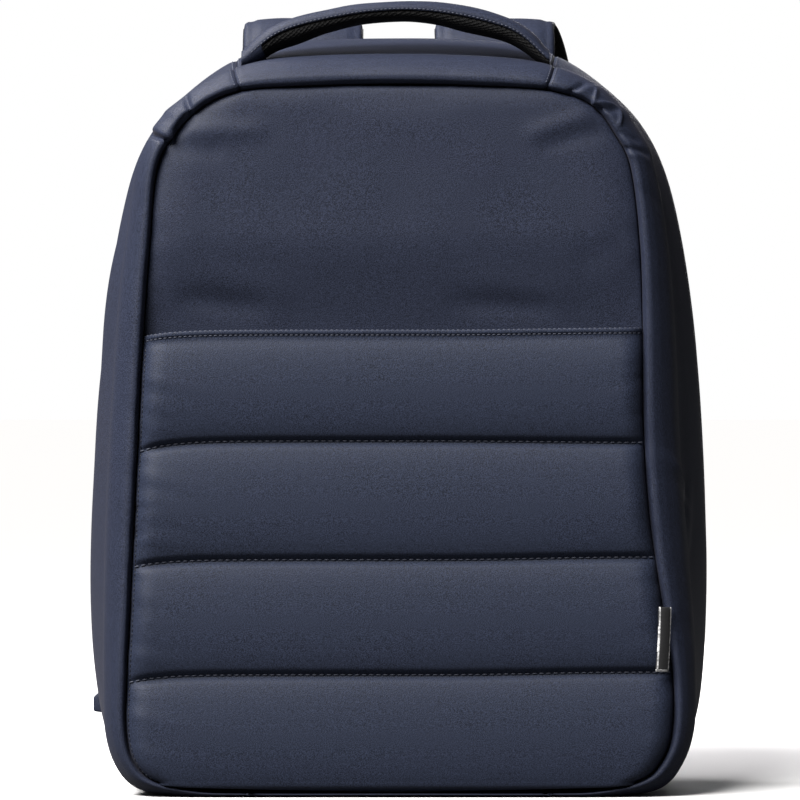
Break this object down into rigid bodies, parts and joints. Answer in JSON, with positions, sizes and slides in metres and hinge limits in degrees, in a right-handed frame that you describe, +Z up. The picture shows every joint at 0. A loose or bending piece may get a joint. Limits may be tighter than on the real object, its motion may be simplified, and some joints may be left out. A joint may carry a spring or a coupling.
{
  "type": "laptop backpack",
  "caption": "Upright soft backpack with a puffed gusset, a quilted slip pocket on its front, a padded top handle and padded shoulder straps.",
  "frame": {"origin": "on the flat base, in the middle of its width and of the gusset's depth", "axes": "+Z up, +Y towards the wearer's back, so the quilted front faces -Y and +X is on the right of someone facing the front"},
  "size_m": [0.3452, 0.2125, 0.434],
  "materials": {
    "shell_fabric": "woven, slightly satin navy polyester",
    "quilted_fabric": "woven, slightly satin navy polyester, padded and stitched",
    "air_mesh": "matt black spacer mesh",
    "webbing": "ribbed black webbing",
    "zip_tape": "black coil zip on woven tape",
    "black_plastic": "satin moulded black plastic",
    "label_tape": "woven black tape with pale edges"
  },
  "bodies": {
    "root": {"side_gusset_left": "shell_fabric", "side_gusset_right": "shell_fabric", "top_band": "shell_fabric", "bottom_panel": "shell_fabric", "front_panel": "shell_fabric", "front_pocket": "quilted_fabric", "back_panel": "air_mesh", "zip_tape": "zip_tape", "zip_pull": "black_plastic", "handle_cover": "shell_fabric", "handle_mesh": "air_mesh", "shoulder_strap_left": "shell_fabric", "strap_mesh_left": "air_mesh", "strap_loop_left": "webbing", "adjuster_left": "black_plastic", "lower_webbing_left": "webbing", "anchor_tab_left": "webbing", "shoulder_strap_right": "shell_fabric", "strap_mesh_right": "air_mesh", "strap_loop_right": "webbing", "adjuster_right": "black_plastic", "lower_webbing_right": "webbing", "anchor_tab_right": "webbing", "side_label": "label_tape"}
  },
  "joints": []
}
